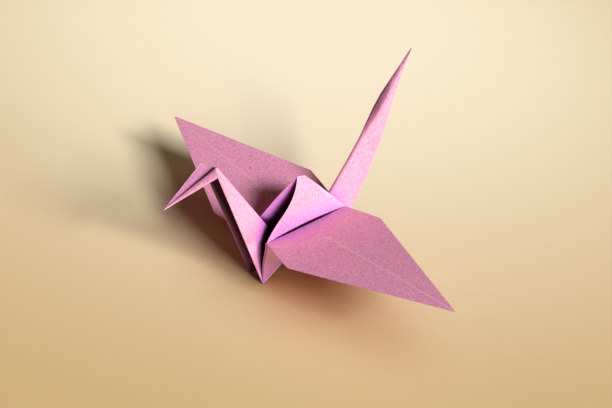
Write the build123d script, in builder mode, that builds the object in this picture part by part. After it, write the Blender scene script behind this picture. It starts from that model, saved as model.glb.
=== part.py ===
"""Origami crane, folded from one square sheet of paper.

The body runs along X with the neck at -X and the tail at +X.  The wings reach out along Y
and Z is up.  The crane stands on the four lower corners of its folded body.

Every panel of the folded sheet is a flat plate between corners of the crease pattern.
Layers that are pressed together are one plate, as thick as the layers together.
"""
import os
from math import acos, atan2, cos, hypot, radians, sin, sqrt, tan

from build123d import *

# The sheet
sheet_side = 150.0
paper_thickness = 0.08
slit_width = 0.9  # where the hump and the wing's root spring apart at the hinge
seam_width = 0.3  # between the sheet's raw edges, which meet under each wing

# How far the body and the wings are opened, in degrees
hump_spread = 13.4  # each side of the hump, from upright
near_wing_rise = 8.4
far_wing_rise = 0.2
near_wing_sweep = 1.9  # towards the tail
far_wing_sweep = 1.0

# Neck, tail and head, angles in degrees
neck_fold_slope = 17.6  # of the crease at which the neck is turned up, below level
tail_fold_slope = 17.4
neck_lean = 4.3  # sideways, towards the far wing
tail_lean = 1.8
beak_length = 19.9
head_droop = 24.8
head_turn = 3.3
head_splay = 42.8

# What the crease pattern gives on the flat sheet, measured from its centre
narrowing = radians(11.25)  # each edge of a leg is folded in to this angle from the spine
taper = tan(narrowing)
leg_length = sheet_side / sqrt(2)
wing_tip_height = sheet_side - leg_length
petal_depth = (leg_length - wing_tip_height) / 2
shoulder = leg_length * taper / (1 + taper)  # as wide as it is deep
wing_edge = tan(2 * narrowing)
corner_depth = (taper * leg_length - wing_edge * wing_tip_height) / (taper + wing_edge)
corner_width = taper * (leg_length - corner_depth)
fold_depth = petal_depth + 2 * paper_thickness  # the leg folds pass under the petal fold

# The spine leans out as the hump is spread, because the paper between them can't stretch
spread = radians(hump_spread)
spine_lean = atan2(1, cos(spread)) - acos(1 / hypot(1, cos(spread)))

PEAK = Vector(0, 0, 0)
NECK, TAIL = -1, 1
NEAR, FAR = -1, 1


def along(start, end, share):
    """The point that lies a share of the way from start to end."""
    return start + (end - start) * share


def plate(*corners, layers=1):
    """A flat panel of pressed layers, half of its thickness each side of its corners."""
    first, second, third = corners[:3]
    side = second - first
    panel = Plane(origin=first, x_dir=side, z_dir=side.cross(third - first))
    with BuildSketch(panel) as outline:
        with BuildLine():
            Polyline(*[panel.to_local_coords(corner) for corner in corners], close=True)
        make_face()
    extrude(outline.sketch, amount=layers * paper_thickness / 2, both=True)


def hinge_point(side):
    """The middle of the crease at which this side's wing is bent down."""
    return Vector(0, side * shoulder * sin(spread), -shoulder * cos(spread))


def shoulder_point(end, side):
    """The lower corner of the hump, where the wing's hinge ends."""
    return hinge_point(side) + Vector(end * shoulder, 0, 0)


def spine_point(end, depth):
    """A point on the inner spine below the peak, before the leg is turned up."""
    return Vector(end * sin(spine_lean), 0, -cos(spine_lean)) * depth


def edge_point(end, side, depth):
    """A point on the narrowed edge of the body, between the shoulder and the leg's tip."""
    share = (depth - shoulder) / (leg_length - shoulder)
    return along(shoulder_point(end, side), spine_point(end, leg_length), share)


def foot_point(end, side, fold_slope):
    """The low corner on which the body stands, where the leg's crease meets its edge."""
    slope = tan(radians(fold_slope))
    width = taper * (leg_length - fold_depth) / (1 + taper * slope)
    return edge_point(end, side, fold_depth + width * slope)


def fold_body(side):
    """The hump's outer panel, and the wall that hangs from the wing down to the belly."""
    shoulders = [shoulder_point(end, side) for end in (NECK, TAIL)]
    bellies = [spine_point(end, fold_depth) for end in (NECK, TAIL)]
    slit = along(hinge_point(side), PEAK, slit_width / shoulder)
    plate(PEAK, shoulders[0], slit, shoulders[1])
    plate(shoulders[0], shoulders[1], bellies[1], bellies[0], layers=5)


def fold_flank(end, side, fold_slope):
    """The panel that joins the hump's edge to the inner spine, with the narrowed edges
    of the sheet pressed on to it: eight layers above the petal fold and four below."""
    corner = shoulder_point(end, side)
    foot = foot_point(end, side, fold_slope)
    belly = spine_point(end, fold_depth)
    plate(PEAK, corner, foot, belly)
    plate(corner, foot, belly, layers=4)
    plate(corner, edge_point(end, side, petal_depth), belly, layers=8)


def fold_wing(side, rise, sweep):
    """A wing bent down along its hinge.  Its sides are folded in under it as far as the
    middle, where the raw edges of the sheet meet."""
    hinge = hinge_point(side)
    level = Vector(0, side * cos(radians(rise)), sin(radians(rise)))
    down = Vector(0, side * sin(radians(rise)), -cos(radians(rise))) * paper_thickness
    out = level * cos(radians(sweep)) + Vector(sin(radians(sweep)), 0, 0)
    across = Vector(cos(radians(sweep)), 0, 0) - level * sin(radians(sweep))
    tip = hinge + out * (shoulder + wing_tip_height)
    roots = [shoulder_point(end, side) for end in (NECK, TAIL)]
    corners = [
        hinge + out * (shoulder - corner_depth) + across * (end * corner_width)
        for end in (NECK, TAIL)
    ]
    plate(roots[0], roots[1], corners[1], tip, corners[0])
    for root, corner in zip(roots, corners):
        seam_root = along(hinge, root, seam_width / (2 * shoulder))
        seam_tip = along(tip, corner, seam_width / (2 * corner_width))
        lap = along(hinge, root, tan(2 * narrowing))
        plate(seam_root + down, root + down, corner + down, seam_tip + down)
        plate(lap + down * 2.5, root + down * 2.5, corner + down * 2.5, layers=2)


def raised_leg(end, side, fold_slope, lean):
    """The leg's crease at the belly and its tip, once it is turned up between the walls."""
    start = spine_point(end, fold_depth)
    feet = [foot_point(end, each, fold_slope) for each in (NEAR, FAR)]
    crease = Plane(origin=start, x_dir=(0, 1, 0), z_dir=(feet[1] - start).cross(feet[0] - start))
    tip = spine_point(end, leg_length)
    leg = tip + (tip.project_to_plane(crease) - tip) * 2 - start
    leg = leg * cos(radians(lean)) + Vector(0, leg.length * sin(radians(lean)), 0)
    return start, leg


def fold_tail(side):
    """One wall of the tail, four layers from the belly to the point."""
    start, leg = raised_leg(TAIL, side, tail_fold_slope, tail_lean)
    plate(start, foot_point(TAIL, side, tail_fold_slope), start + leg, layers=4)


def fold_neck(side):
    """One wall of the neck and of the head that is turned down at its end."""
    start, leg = raised_leg(NECK, side, neck_fold_slope, neck_lean)
    bend = start + leg * (1 - beak_length / leg.length)
    droop = radians(head_droop)
    turn = radians(head_turn)
    splay = radians(head_splay)
    beak = bend + Vector(-cos(droop) * cos(turn), sin(turn), -sin(droop) * cos(turn)) * beak_length

    # The head is creased half way between the neck's direction and its own
    neck_angle = atan2(leg.Z, leg.X)
    half_turn = (radians(180) + droop - neck_angle) / 2
    crease_angle = neck_angle + half_turn
    crease = beak_length * sin(narrowing) / sin(narrowing + half_turn)
    jaw = bend + Vector(
        cos(crease_angle) * cos(splay), side * sin(splay), sin(crease_angle) * cos(splay)
    ) * crease
    plate(start, foot_point(NECK, side, neck_fold_slope), jaw, layers=4)
    plate(start, jaw, bend, layers=4)
    plate(bend, jaw, beak, layers=4)


with BuildPart() as folded:
    for side, rise, sweep in (
        (NEAR, near_wing_rise, near_wing_sweep),
        (FAR, far_wing_rise, far_wing_sweep),
    ):
        fold_body(side)
        fold_flank(NECK, side, neck_fold_slope)
        fold_flank(TAIL, side, tail_fold_slope)
        fold_wing(side, rise, sweep)
        fold_neck(side)
        fold_tail(side)

# The crane is set down on its feet, with the middle of its outline at the origin
box = folded.part.bounding_box()
with BuildPart() as folded_sheet:
    add(folded.part.moved(Location((-box.center().X, -box.center().Y, -box.min.Z))))
folded_sheet.part.label = "folded_sheet"

os.makedirs("parts", exist_ok=True)
export_step(folded_sheet.part, "parts/folded_sheet.step")
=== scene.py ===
"""The looks of an origami crane, folded from one square sheet of pink paper."""
from math import acos, atan2, cos, exp, hypot, pi, radians, sin, sqrt, tan

import bmesh
import bpy
from mathutils import Matrix, Vector


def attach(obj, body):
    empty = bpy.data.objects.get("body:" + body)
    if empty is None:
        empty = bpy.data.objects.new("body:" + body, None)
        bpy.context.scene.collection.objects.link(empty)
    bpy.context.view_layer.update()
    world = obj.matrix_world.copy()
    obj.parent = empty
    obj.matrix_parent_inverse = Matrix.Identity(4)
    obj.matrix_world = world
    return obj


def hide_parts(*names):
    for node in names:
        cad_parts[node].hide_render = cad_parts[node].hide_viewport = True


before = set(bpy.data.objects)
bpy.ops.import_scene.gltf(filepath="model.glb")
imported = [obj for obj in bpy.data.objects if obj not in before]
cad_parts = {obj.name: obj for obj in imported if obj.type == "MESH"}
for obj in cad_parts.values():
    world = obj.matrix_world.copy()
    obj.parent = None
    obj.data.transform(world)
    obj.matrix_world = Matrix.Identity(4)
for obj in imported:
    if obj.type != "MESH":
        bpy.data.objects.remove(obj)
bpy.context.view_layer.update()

# The body
# One square of thin origami paper, creased by hand into a bird base.  The middle of the
# square makes the body: a hump that opens when the wings are pulled apart, and below it
# walls and flanks of many layers, pressed flat with a nail.
MM = 0.001
NECK, TAIL, NEAR, FAR = -1, 1, -1, 1
sheet_side = 150 * MM
paper_thickness = 0.08 * MM
layer_pitch = 1.1 * paper_thickness  # pressed layers still stand a little apart

# lengths that the crease pattern gives on the flat square, measured from its centre
narrowing = radians(11.25)  # each edge of a leg is folded in to this angle from its spine
taper = tan(narrowing)
leg_length = sheet_side / sqrt(2)
wing_tip_height = sheet_side - leg_length
petal_depth = (leg_length - wing_tip_height) / 2
fold_depth = petal_depth + 2 * paper_thickness
shoulder = leg_length * taper / (1 + taper)

# how far the hump is opened, and the creases at which the neck and the tail are turned up
hump_spread = radians(13.4)
spine_lean = atan2(1, cos(hump_spread)) - acos(1 / hypot(1, cos(hump_spread)))
fold_slope = {NECK: radians(17.6), TAIL: radians(17.4)}


def hinge_point(side):
    """The middle of the crease at which this side's wing is bent down."""
    return Vector((0, side * shoulder * sin(hump_spread), -shoulder * cos(hump_spread)))


def shoulder_point(end, side):
    """The lower corner of the hump, where the wing's hinge ends."""
    return hinge_point(side) + Vector((end * shoulder, 0, 0))


def spine_point(end, depth):
    """A point on the inner spine below the peak, before the leg is turned up."""
    return Vector((end * sin(spine_lean), 0, -cos(spine_lean))) * depth


def edge_point(end, side, depth):
    """A point on the narrowed edge of the body, between the shoulder and the leg's tip."""
    share = (depth - shoulder) / (leg_length - shoulder)
    return shoulder_point(end, side).lerp(spine_point(end, leg_length), share)


def foot_point(end, side):
    """The low corner on which the body stands, where the leg's crease meets its edge."""
    slope = tan(fold_slope[end])
    width = taper * (leg_length - fold_depth) / (1 + taper * slope)
    return edge_point(end, side, fold_depth + width * slope)


peak = Vector((3.5764, -0.3391, 35.3031)) * MM  # of the hump, on a crane that stands at 0, 0
paper_mesh = bmesh.new()
crease_away = paper_mesh.verts.layers.float.new("crease")
edge_away = paper_mesh.verts.layers.float.new("edge")
# painted shade for the dark deep in the folds, carried by each point
painted_shade_layer = paper_mesh.verts.layers.float.new("painted_shade")
# how much paler the paper is along its creases
paled_by = paper_mesh.verts.layers.float.new("paled")
far_away = 9  # millimetres from a crease or an edge, past which nothing changes
usual_paling = 0.3
steps = 14  # along each side of a panel
pinches = []


def pinch(place, push, reach):
    """Fingers have pushed the paper this many millimetres here, and less around it."""
    pinches.append((place, Vector(push) * MM, reach * MM))


def pressed(place):
    """Where a point of the paper lies once all the pinches have moved it."""
    for centre, push, reach in pinches:
        place = place + push * exp(-(((place - centre).length / reach) ** 2))
    return place


def arch(a, b):
    """How far a line has sprung between its ends: nought at them and one in the middle."""
    return 4 * a * b


def panel(
    *corners, creases="", open_sides="", layers=1, spring=None, stiff=False,
    paled=None, painted_shade=None, inner_is_last=False,
):
    """Pressed layers of the sheet between three or four corners.  The sides are ab, bc and so
    on, and the corners' weights say where a point is.  Spring gives how far the paper bows at
    a point, and the other functions how much paler its creases are and how much painted shade
    its inner layer gets, for the shade deep in a fold.  A stiff panel gives way to a pinch at its
    corners only."""
    if stiff:
        corners = [pressed(corner) for corner in corners]
    is_quad = len(corners) == 4
    side_names = ("ab", "bc", "cd", "da") if is_quad else ("ab", "bc", "ca")
    first_side = (corners[1] - corners[0]).length
    second_side = (corners[2] - corners[1]).length
    last_side = (corners[-1] - corners[0]).length
    normal = (corners[1] - corners[0]).cross(corners[2] - corners[0])
    area = normal.length
    normal.normalize()
    inner = layers - 1 if inner_is_last else 0
    for layer in range(layers):
        lift = normal * ((layer - (layers - 1) / 2) * layer_pitch)
        rows = []
        for i in range(steps + 1):
            row = []
            for j in range(steps + 1 if is_quad else steps + 1 - i):
                u, v = i / steps, j / steps
                if is_quad:
                    weights = ((1 - u) * (1 - v), u * (1 - v), u * v, (1 - u) * v)
                    away = (v * last_side, (1 - u) * first_side, (1 - v) * last_side, u * first_side)
                else:
                    weights = (1 - u - v, u, v)
                    away = (v * area / first_side, weights[0] * area / second_side, u * area / last_side)
                place = sum((corner * weight for corner, weight in zip(corners, weights)), Vector())
                if spring:
                    place += spring(*weights)
                if not stiff:
                    place = pressed(place)
                vert = paper_mesh.verts.new(place + lift + peak)
                spans = [(name, span / MM) for name, span in zip(side_names, away)]
                vert[crease_away] = min([far_away] + [s for name, s in spans if name in creases])
                vert[edge_away] = min([far_away] + [s for name, s in spans if name not in open_sides])
                vert[paled_by] = paled(*weights) if paled else usual_paling
                # painted shade, on the innermost layer only
                if painted_shade and layer == inner:
                    vert[painted_shade_layer] = painted_shade(*weights)
                row.append(vert)
            rows.append(row)
        for low, high in zip(rows, rows[1:]):
            for j in range(len(high) - is_quad):
                if is_quad:
                    paper_mesh.faces.new((low[j], high[j], high[j + 1], low[j + 1]))
                else:
                    paper_mesh.faces.new((low[j], high[j], low[j + 1]))
                    if j + 1 < len(high):
                        paper_mesh.faces.new((high[j], high[j + 1], low[j + 1]))


# the hump's top is a short ridge, and fingers have moved the near shoulders and the neck's feet
tops = {NECK: Vector((-1.9, 0.8, 0)) * MM, TAIL: Vector((0.5, 0, 0)) * MM}
bellies = {end: spine_point(end, fold_depth) for end in (NECK, TAIL)}
pinch(shoulder_point(NECK, NEAR), (1.2, 0, 0.4), 7)
pinch(shoulder_point(TAIL, NEAR), (-0.85, 0, 0.35), 7)
pinch(foot_point(NECK, NEAR), (0, 1.2, 0), 14)
pinch(foot_point(NECK, FAR), (0, -0.6, 0), 14)

bow_height = {NEAR: 1.65 * MM, FAR: 0.3 * MM}
bow_to_top = 1.2  # how much stronger the bow is towards the hump's top
behind_wall = 0.35 * MM
slit_shade, wall_shade, flank_shade = 1, 0.25, 0.35  # how much painted shade their inner layers get; the layer behind the slit is painted fully dark

for side in (NEAR, FAR):
    shoulders = {end: shoulder_point(end, side) for end in (NECK, TAIL)}
    hidden = Vector((0, side * behind_wall, -petal_depth))
    bow = Vector((0, side * bow_height[side], 0))
    lifted = Vector((0, -side * 0.35, 1.25)) * MM
    tucked = Vector((0, -side * 1.3, -0.1)) * MM

    def edge_bow(a, b):
        """The hump's edges bow out, most of all near its top."""
        return bow * arch(a, b) * (1 + bow_to_top * (a - b))

    # the hump's outer panel, lifted off the wing's root, and the layers that go on down
    panel(
        tops[NECK], shoulders[NECK], shoulders[TAIL], tops[TAIL], creases="ab cd da",
        spring=lambda a, b, c, d: edge_bow(a, b) + lifted * arch(b, c),
    )
    # the layer behind the slit, painted fully dark with shade
    panel(
        shoulders[NECK], shoulders[TAIL], hidden,
        spring=lambda a, b, c: tucked * arch(a, b), painted_shade=lambda a, b, c: slit_shade,
    )
    panel(
        shoulders[NECK], shoulders[TAIL], bellies[TAIL], bellies[NECK], layers=3,
        painted_shade=lambda a, b, c, d: wall_shade, inner_is_last=side == FAR,
    )

    # the flanks from the hump's edges to the spine, and the layers pressed on to them
    for end in (NECK, TAIL):
        faces_out = side * end > 0
        panel(
            tops[end], shoulders[end], bellies[end],
            spring=(lambda a, b, c: edge_bow(a, b)) if end == NECK else None,
        )
        panel(
            shoulders[end], foot_point(end, side), bellies[end], layers=4,
            painted_shade=lambda a, b, c: flank_shade, inner_is_last=faces_out,
        )
        panel(
            shoulders[end], edge_point(end, side, petal_depth), bellies[end], layers=8,
            painted_shade=lambda a, b, c: flank_shade, inner_is_last=faces_out,
        )


# The wings
# Two corners of the square, bent down at a crease beside the hump.  Their sides are folded
# in under them and the raw edges meet in the middle, along the crease that shows on top as
# a paler line on a faint ridge.
wing_rise = {NEAR: radians(8.4), FAR: radians(0.2)}
wing_sweep = {NEAR: radians(1.9), FAR: radians(1.0)}  # towards the tail
wing_paling = {NEAR: 0.6, FAR: 0.4}
paling_grows = 0.25  # over this much of the way from the hinge to the tip
wing_edge = tan(2 * narrowing)
corner_depth = (taper * leg_length - wing_edge * wing_tip_height) / (taper + wing_edge)
corner_width = taper * (leg_length - corner_depth)
half_seam = 0.15 * MM
ridge_layers = 4  # the ridge is as high as this many layers
blunted = 0.03 * MM  # off the end of each point, because paper is never quite sharp

for side in (NEAR, FAR):
    hinge = hinge_point(side)
    level = Vector((0, side * cos(wing_rise[side]), sin(wing_rise[side])))
    down = Vector((0, side * sin(wing_rise[side]), -cos(wing_rise[side]))) * layer_pitch
    out = level * cos(wing_sweep[side]) + Vector((sin(wing_sweep[side]), 0, 0))
    across = Vector((cos(wing_sweep[side]), 0, 0)) - level * sin(wing_sweep[side])
    tip = hinge + out * (shoulder + wing_tip_height - blunted)
    ridge = down * -ridge_layers
    for end in (NECK, TAIL):
        root = shoulder_point(end, side)
        corner = hinge + out * (shoulder - corner_depth) + across * (end * corner_width)
        seam = across * (end * half_seam) + down
        panel(hinge, root, corner, open_sides="ab ca")
        panel(
            hinge, corner, tip, creases="ca", open_sides="ab",
            spring=lambda a, b, c: ridge * arch(a, c),
            paled=lambda a, b, c: wing_paling[side] * min(1, c / paling_grows),
        )
        panel(hinge + seam, root + down, corner + down, open_sides="ca")
        panel(
            hinge + seam, corner + down, tip + down, open_sides="ab",
            spring=lambda a, b, c: ridge * arch(a, c),
        )


# The neck and the head
# A narrow leg of the square, four layers each side, turned up between the body's walls at a
# sloping crease.  Its end is folded down again for the head, whose two sides flare apart
# and show the fold within, darkened with painted shade.
leg_layers = 4
leg_lean = {NECK: radians(4.3), TAIL: radians(1.8)}  # sideways, towards the far wing
beak_length = 19.9 * MM
head_droop, head_turn, head_splay = radians(24.8), radians(3.3), radians(42.8)
lip_height = {NEAR: -1.0 * MM, FAR: 0.9 * MM}
jaw_pull = {NEAR: Vector((0.9, -0.2, -1.1)) * MM, FAR: Vector((0, 0, 0))}
neck_shade, more_by_spine = 0.3, 4  # how much painted shade the neck's inner layer gets
head_shade = 1.4  # painted shade over one, so that a band beside the head's spine is painted fully dark
least_shade = {NEAR: 0.0, FAR: 0.3}
fading = {NEAR: 7, FAR: 3}


def raised_leg(end):
    """The leg from its crease at the belly to its tip, once it is turned up."""
    start = spine_point(end, fold_depth)
    near_foot, far_foot = (foot_point(end, side) - start for side in (NEAR, FAR))
    normal = near_foot.cross(far_foot).normalized()
    leg = spine_point(end, leg_length) - start
    leg -= 2 * leg.dot(normal) * normal
    return leg * cos(leg_lean[end]) + Vector((0, leg.length * sin(leg_lean[end]), 0))


def share_across(b, c):
    """How far across a leg a point lies, from its spine to its edge, when b is its weight
    at the leg's edge and c its weight at the tip."""
    just_past_tip = 1.001
    return b / (just_past_tip - c)


start = bellies[NECK]
leg = raised_leg(NECK)
bend = start + leg * (1 - beak_length / leg.length)
beak = bend + (beak_length - blunted) * Vector(
    (-cos(head_droop) * cos(head_turn), sin(head_turn), -sin(head_droop) * cos(head_turn))
)

# the head is creased half way between the neck's direction and its own
neck_angle = atan2(leg.z, leg.x)
half_turn = (pi + head_droop - neck_angle) / 2
crease_angle = neck_angle + half_turn
crease_length = beak_length * sin(narrowing) / sin(narrowing + half_turn)

for side in (NEAR, FAR):
    jaw = bend + crease_length * Vector((
        cos(crease_angle) * cos(head_splay),
        side * sin(head_splay),
        sin(crease_angle) * cos(head_splay),
    ))
    lip = (jaw - bend).cross(beak - bend).normalized() * -side * lip_height[side]
    jaw += jaw_pull[side]
    panel(
        start, foot_point(NECK, side), jaw, bend, creases="bc", layers=leg_layers, stiff=True,
        spring=lambda a, b, c, d: lip * arch(c, d),
        painted_shade=lambda a, b, c, d: min(1, neck_shade + more_by_spine * (a + d)),
        inner_is_last=side == NEAR,
    )
    panel(
        bend, jaw, beak, creases="bc", layers=leg_layers, stiff=True,
        spring=lambda a, b, c: lip * arch(a, share_across(b, c)),
        painted_shade=lambda a, b, c: min(1, max(
            least_shade[side], head_shade - fading[side] * share_across(b, c)
        )),
        inner_is_last=side == FAR,
    )


# The tail
# The leg at the other end, also four layers each side, turned up higher than the neck.  Its
# walls stand a little apart, its spine has been pressed flat towards the top, and its point
# is bent over slightly.
start = bellies[TAIL]
length_kept = 0.9995  # because its point is blunt as well
tail_tip = start + raised_leg(TAIL) * length_kept
flat_share = 0.2  # of the tail's width, beside the spine
flat_height = 0.95 * MM
least_flat = 0.15
flat_from, flat_to = 0.55, 0.75  # of the way up
narrows_to_tip = 0.24  # over the last of the way up
curl = Vector((-1.4, 0, -0.5)) * MM
# painted shade on the tail's inner layer, beside its spine
tail_shade = 0.75
dark_from, dark_to = 0.6, 0.75  # of the way up
dark_width, dark_spread = 0.1, 0.5  # of the tail's width


def ramp(value, first, last):
    """How far a value has come from the first to the last, from nought to one."""
    return min(1, max(0, (value - first) / (last - first)))


for side in (NEAR, FAR):
    foot = foot_point(TAIL, side)
    apart = Vector((0.5, side * 1.7, 0)) * MM

    def tail_spring(a, b, c):
        """The flattened spine, the walls' gap and the bent point, together."""
        outwards = share_across(b, c)
        pressed_in = min(outwards / flat_share, (1 - outwards) / (1 - flat_share))
        flattened = max(least_flat, ramp(c, flat_from, flat_to))
        flat_edge = Vector((0, side * flat_height, 0)) * ramp(1 - c, 0, narrows_to_tip)
        folded_edge = (foot - start) * ((1 - c) * flat_share)
        spine = (flat_edge - folded_edge) * (pressed_in * flattened)
        below_tip = 15 * c**5 * (1 - c)  # one at five sixths of the way up
        return spine + apart * (outwards * arch(c, 1 - c)) + curl * below_tip

    def tail_painted_shade(a, b, c):
        """Painted shade on the inner layer: dark beside the spine, and further out where that is flat.
        """
        reach = dark_width + dark_spread * ramp(c, dark_from, dark_to)
        return tail_shade * max(0, 1 - share_across(b, c) / reach)

    panel(
        start, foot, tail_tip, layers=leg_layers, spring=tail_spring,
        painted_shade=tail_painted_shade, inner_is_last=side == NEAR,
    )


# The paper's colour and feel
# Soft, matt origami paper, pink right through and mottled by its fibres.  It is paler
# along its creases.  Beside a fold it is painted violet for shade, and deep in a fold
# painted shade makes it as dark as wine.
dusky_pink = (0.59, 0.205, 0.35, 1)
light_pink = (0.81, 0.36, 0.51, 1)
crease_pale_pink = (0.90, 0.62, 0.70, 1)
painted_violet_shade = (0.48, 0.12, 0.58, 1)
painted_shade_wine = (0.045, 0.001, 0.030, 1)
fleck_brown = (0.10, 0.02, 0.04, 1)
crease_pale_width = 0.25  # in millimetres, as the panels carry it
fold_reach = 12 * MM
violet_shade_strength = 0.75
fleck_share = 0.75
fleck_place = Vector((7.6, 28.14, 18.27)) * MM
fleck_radius = 0.3 * MM
fibre_height = 0.06 * MM


def feed(tree, socket, value):
    """Give a socket a plain value, or link another node's result to it."""
    if isinstance(value, bpy.types.NodeSocket):
        tree.links.new(value, socket)
    else:
        socket.default_value = value


def noise(tree, scale, detail, place=None):
    """An uneven value about one half, with this many patches to a metre."""
    made = tree.nodes.new("ShaderNodeTexNoise")
    made.inputs["Scale"].default_value = scale
    made.inputs["Detail"].default_value = detail
    if place:
        tree.links.new(place, made.inputs["Vector"])
    return made.outputs["Fac"]


def carried(tree, name):
    """The value that the panels carry under this name."""
    made = tree.nodes.new("ShaderNodeAttribute")
    made.attribute_name = name
    return made.outputs["Fac"]


def graded(tree, value, first, last, low=0, high=1, smooth=False):
    """A value that goes from low to high while another goes from the first to the last."""
    made = tree.nodes.new("ShaderNodeMapRange")
    made.interpolation_type = "SMOOTHSTEP" if smooth else "LINEAR"
    feed(tree, made.inputs["Value"], value)
    made.inputs["From Min"].default_value = first
    made.inputs["From Max"].default_value = last
    made.inputs["To Min"].default_value = low
    made.inputs["To Max"].default_value = high
    return made.outputs["Result"]


def worked_out(tree, operation, *terms):
    """The result of an operation on two or three values."""
    made = tree.nodes.new("ShaderNodeMath")
    made.operation = operation
    for socket, term in zip(made.inputs, terms):
        feed(tree, socket, term)
    return made.outputs["Value"]


def distance(tree, place, centre):
    """How far a point is from a centre, in metres."""
    made = tree.nodes.new("ShaderNodeVectorMath")
    made.operation = "DISTANCE"
    from_here, to_there = made.inputs[:2]
    feed(tree, from_here, place)
    feed(tree, to_there, centre)
    return made.outputs["Value"]


def open_to_light(tree, reach, samples):
    """One out in the open, and towards nought where the paper around shuts the light out."""
    made = tree.nodes.new("ShaderNodeAmbientOcclusion")
    made.samples = samples
    made.inputs["Distance"].default_value = reach
    return made.outputs["AO"]


def blended(tree, share, first, second):
    """A colour that goes from the first to the second as the share goes up to one."""
    made = tree.nodes.new("ShaderNodeMix")
    made.data_type = "RGBA"
    inlets = {socket.identifier: socket for socket in made.inputs}
    outlets = {socket.identifier: socket for socket in made.outputs}
    feed(tree, inlets["Factor_Float"], share)
    feed(tree, inlets["A_Color"], first)
    feed(tree, inlets["B_Color"], second)
    return outlets["Result_Color"]


paper = bpy.data.materials.new("pink_paper")
paper.use_nodes = True
tree = paper.node_tree
shader = tree.nodes["Principled BSDF"]
shader.inputs["Roughness"].default_value = 0.72
shader.inputs["IOR"].default_value = 1.5
shader.inputs["Specular IOR Level"].default_value = 0.2
place = tree.nodes.new("ShaderNodeTexCoord").outputs["Object"]

mottle = graded(tree, noise(tree, scale=1600, detail=3, place=place), 0.3, 0.7)
colour = blended(tree, mottle, dusky_pink, light_pink)

by_crease = graded(tree, carried(tree, "crease"), 0, crease_pale_width, low=1, high=0)
crease_paled = worked_out(tree, "MULTIPLY", by_crease, carried(tree, "paled"))
colour = blended(tree, crease_paled, colour, crease_pale_pink)

# painted shade: violet beside a fold and dark wine deep in it, where the paper around shuts the light
# out
openness = open_to_light(tree, fold_reach, samples=16)
violet_shade_share = graded(tree, openness, 0.90, 0.38, high=violet_shade_strength)
colour = blended(tree, violet_shade_share, colour, painted_violet_shade)
wine_shade_share = graded(tree, openness, 0.42, 0.24, smooth=True)
painted_darkness = worked_out(tree, "MAXIMUM", wine_shade_share, carried(tree, "painted_shade"))
colour = blended(tree, painted_darkness, colour, painted_shade_wine)

# one dark fleck in the far wing
from_fleck = distance(tree, place, fleck_place)
fleck = graded(tree, from_fleck, fleck_radius, 2 * fleck_radius, low=fleck_share, high=0)
colour = blended(tree, fleck, colour, fleck_brown)
tree.links.new(colour, shader.inputs["Base Color"])

fibres = tree.nodes.new("ShaderNodeBump")
fibres.inputs["Strength"].default_value = 0.25
fibres.inputs["Distance"].default_value = fibre_height
tree.links.new(noise(tree, scale=900, detail=4, place=place), fibres.inputs["Height"])
tree.links.new(fibres.outputs["Normal"], shader.inputs["Normal"])


# The paper's thickness
# The sheet is 0.08 mm thick, and each of its layers shows in the edges of the folds.  A
# layer is never quite flat between its creases, so each one cockles very slightly.
cockle_height = 0.25 * MM
cockle_margin = 1.5  # millimetres beside a fold or an edge, where the cockles fade
same_point = 0.001 * MM

flat = bpy.data.meshes.new("flat_panels")
paper_mesh.to_mesh(flat)
paper_mesh.free()
draft = bpy.data.objects.new("panels", flat)
bpy.context.scene.collection.objects.link(draft)

rule = bpy.data.node_groups.new("paper_thickness", "GeometryNodeTree")
face = rule.interface
face.new_socket("Geometry", in_out="INPUT", socket_type="NodeSocketGeometry")
thickness_in = face.new_socket("Thickness", in_out="INPUT", socket_type="NodeSocketFloat")
cockle_in = face.new_socket("Cockle height", in_out="INPUT", socket_type="NodeSocketFloat")
material_in = face.new_socket("Paper", in_out="INPUT", socket_type="NodeSocketMaterial")
face.new_socket("Geometry", in_out="OUTPUT", socket_type="NodeSocketGeometry")
given = rule.nodes.new("NodeGroupInput").outputs
result = rule.nodes.new("NodeGroupOutput").inputs


def step(kind, **values):
    """A node of this kind, with its inputs fed by name."""
    made = rule.nodes.new(kind)
    for name, value in values.items():
        feed(rule, made.inputs[name.replace("_", " ")], value)
    return made.outputs


from_edge = step("GeometryNodeInputNamedAttribute", Name="edge")["Attribute"]
free_to_cockle = graded(rule, from_edge, 0, cockle_margin)
uneven = worked_out(rule, "SUBTRACT", noise(rule, scale=120, detail=1), 0.5)
cockle = worked_out(rule, "MULTIPLY", uneven, free_to_cockle)
cockle = worked_out(rule, "MULTIPLY", cockle, given["Cockle height"])
lowered = worked_out(rule, "MULTIPLY_ADD", given["Thickness"], -0.5, cockle)
offset = rule.nodes.new("ShaderNodeVectorMath")
offset.operation = "SCALE"
feed(rule, offset.inputs["Vector"], step("GeometryNodeInputNormal")["Normal"])
feed(rule, offset.inputs["Scale"], lowered)
under = step("GeometryNodeSetPosition", Geometry=given["Geometry"], Offset=offset.outputs["Vector"])
over = step(
    "GeometryNodeExtrudeMesh", Mesh=under["Geometry"], Offset_Scale=given["Thickness"],
    Individual=False,
)
turned = step("GeometryNodeFlipFaces", Mesh=under["Geometry"])
both = rule.nodes.new("GeometryNodeJoinGeometry")
for shell in (over, turned):
    rule.links.new(shell["Mesh"], both.inputs["Geometry"])
closed = both.outputs["Geometry"]
welded = step("GeometryNodeMergeByDistance", Geometry=closed, Distance=same_point)
whole = step("GeometryNodeRealizeInstances", Geometry=welded["Geometry"])
dressed = step("GeometryNodeSetMaterial", Geometry=whole["Geometry"], Material=given["Paper"])
rule.links.new(dressed["Geometry"], result["Geometry"])

modifier = draft.modifiers.new("paper_thickness", "NODES")
modifier.node_group = rule
modifier[thickness_in.identifier] = paper_thickness
modifier[cockle_in.identifier] = cockle_height
modifier[material_in.identifier] = paper
bpy.context.view_layer.update()
solid = bpy.data.meshes.new_from_object(draft.evaluated_get(bpy.context.evaluated_depsgraph_get()))
crane = bpy.data.objects.new("folded_paper", solid)
bpy.context.scene.collection.objects.link(crane)
bpy.data.objects.remove(draft)
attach(crane, "root")
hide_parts("folded_sheet")
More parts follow.
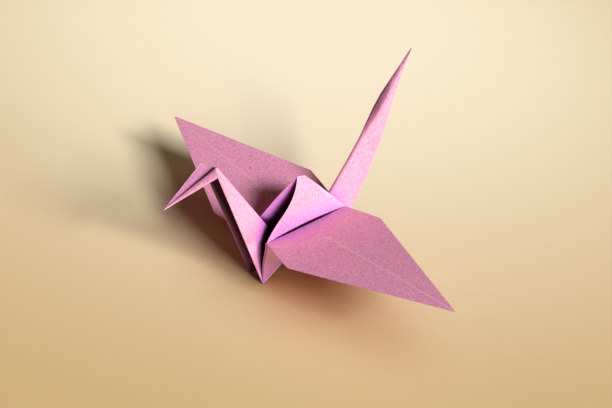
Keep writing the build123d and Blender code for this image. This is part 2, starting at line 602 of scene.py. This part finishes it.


# The floor
# A plain, matt floor, tan, with a pool of painted light that makes it cream beyond the crane.
# It is a little paler again far off, where it meets the backdrop.  Close under the crane it has
# painted shade, browner.
tan_floor = (0.62, 0.44, 0.205, 1)
painted_light_cream = (0.97, 0.86, 0.66, 1)
brown_shade = (0.33, 0.135, 0.05, 1)
light_pool_centre = (0.116, 0.110, 0)
light_pool_inner, light_pool_outer = 0.03, 0.265
far_starts, far_ends, far_paleness = 0.27, 0.60, 0.4
shade_reach = 30 * MM
half_floor = 3

floor_mesh = bpy.data.meshes.new("floor")
floor_corners = [
    (-half_floor, -half_floor, 0), (half_floor, -half_floor, 0),
    (half_floor, half_floor, 0), (-half_floor, half_floor, 0),
]
floor_mesh.from_pydata(floor_corners, [], [(0, 1, 2, 3)])
floor = bpy.data.objects.new("floor", floor_mesh)
bpy.context.scene.collection.objects.link(floor)
pale_floor = bpy.data.materials.new("pale_floor")
pale_floor.use_nodes = True
tree = pale_floor.node_tree
shader = tree.nodes["Principled BSDF"]
shader.inputs["Roughness"].default_value = 0.9
shader.inputs["Specular IOR Level"].default_value = 0.0
# painted light: a pool of cream beyond the crane
from_light_pool = distance(tree, tree.nodes.new("ShaderNodeTexCoord").outputs["Object"], light_pool_centre)
in_light_pool = graded(tree, from_light_pool, light_pool_outer, light_pool_inner, smooth=True)
far_off = graded(tree, from_light_pool, far_starts, far_ends, high=far_paleness, smooth=True)
painted_light_and_far_pale = worked_out(tree, "MAXIMUM", in_light_pool, far_off)
colour = blended(tree, painted_light_and_far_pale, tan_floor, painted_light_cream)
# painted shade, browner close under the crane
in_shade = graded(tree, open_to_light(tree, shade_reach, samples=8), 0.95, 0.30)
colour = blended(tree, in_shade, colour, brown_shade)
tree.links.new(colour, shader.inputs["Base Color"])
floor_mesh.materials.append(pale_floor)


# The light
# Two soft lamps, side by side on the near side, stand for a window.  A stronger, slightly
# green lamp comes in low beside them as a fill, and a weaker one low from the far side.  The
# world glows warm and very faint, and its backdrop is there to be seen, not to light.
world = bpy.data.worlds.new("studio")
bpy.context.scene.world = world
world.use_nodes = True
tree = world.node_tree
glow = tree.nodes["Background"]
glow.inputs["Color"].default_value = (1.0, 0.42, 0.08, 1)
glow.inputs["Strength"].default_value = 0.05
backdrop = tree.nodes.new("ShaderNodeBackground")
backdrop.inputs["Color"].default_value = (0.73, 0.58, 0.37, 1)
rays = tree.nodes.new("ShaderNodeLightPath").outputs
seen = worked_out(tree, "MAXIMUM", rays["Is Camera Ray"], rays["Is Glossy Ray"])
seen = worked_out(tree, "MAXIMUM", seen, rays["Is Transmission Ray"])
sky = tree.nodes.new("ShaderNodeMixShader")
which, when_lighting, when_seen = sky.inputs
tree.links.new(seen, which)
tree.links.new(glow.outputs["Background"], when_lighting)
tree.links.new(backdrop.outputs["Background"], when_seen)
tree.links.new(sky.outputs["Shader"], tree.nodes["World Output"].inputs["Surface"])

white = (1, 1, 1)
greenish = (0.92, 1.0, 0.74)
lamps = (  # name, direction, width in degrees, strength, colour
    ("window_left", Vector((-0.161, -0.787, 0.596)), 15, 2.33, white),
    ("window_right", Vector((0.090, -0.794, 0.601)), 15, 2.33, white),
    ("fill", Vector((0.420, -0.907, 0.025)), 16, 3.3, greenish),
    ("back", Vector((-0.25, 0.965, 0.03)), 20, 1.0, white),
)
for name, toward, width, strength, colour in lamps:
    lamp_data = bpy.data.lights.new(name, "SUN")
    lamp_data.angle = radians(width)
    lamp_data.energy = strength
    lamp_data.color = colour
    lamp = bpy.data.objects.new(name, lamp_data)
    lamp.rotation_euler = toward.to_track_quat("Z", "Y").to_euler()
    bpy.context.scene.collection.objects.link(lamp)


# The camera
# It looks down on the crane from between the neck and the near wing, a little under three
# sheet sides away, and keeps everything sharp.
picture_width = 612  # pixels
focal_length = 1351.65  # pixels
camera_data = bpy.data.cameras.new("camera")
camera_data.sensor_width = 36
camera_data.lens = focal_length * camera_data.sensor_width / picture_width
camera = bpy.data.objects.new("camera", camera_data)
right = Vector((0.74348, -0.65992, 0.10843))
down = Vector((-0.34955, -0.52168, -0.77824))
forward = Vector((0.57014, 0.5407, -0.61853))
turn = Matrix((right, -down, -forward)).transposed().to_4x4()
viewpoint = Vector((-1.5948, -1.53, 1.6679)) * sheet_side + peak
camera.matrix_world = Matrix.Translation(viewpoint) @ turn
bpy.context.scene.collection.objects.link(camera)
bpy.context.scene.camera = camera
bpy.context.scene.view_settings.view_transform = "Standard"
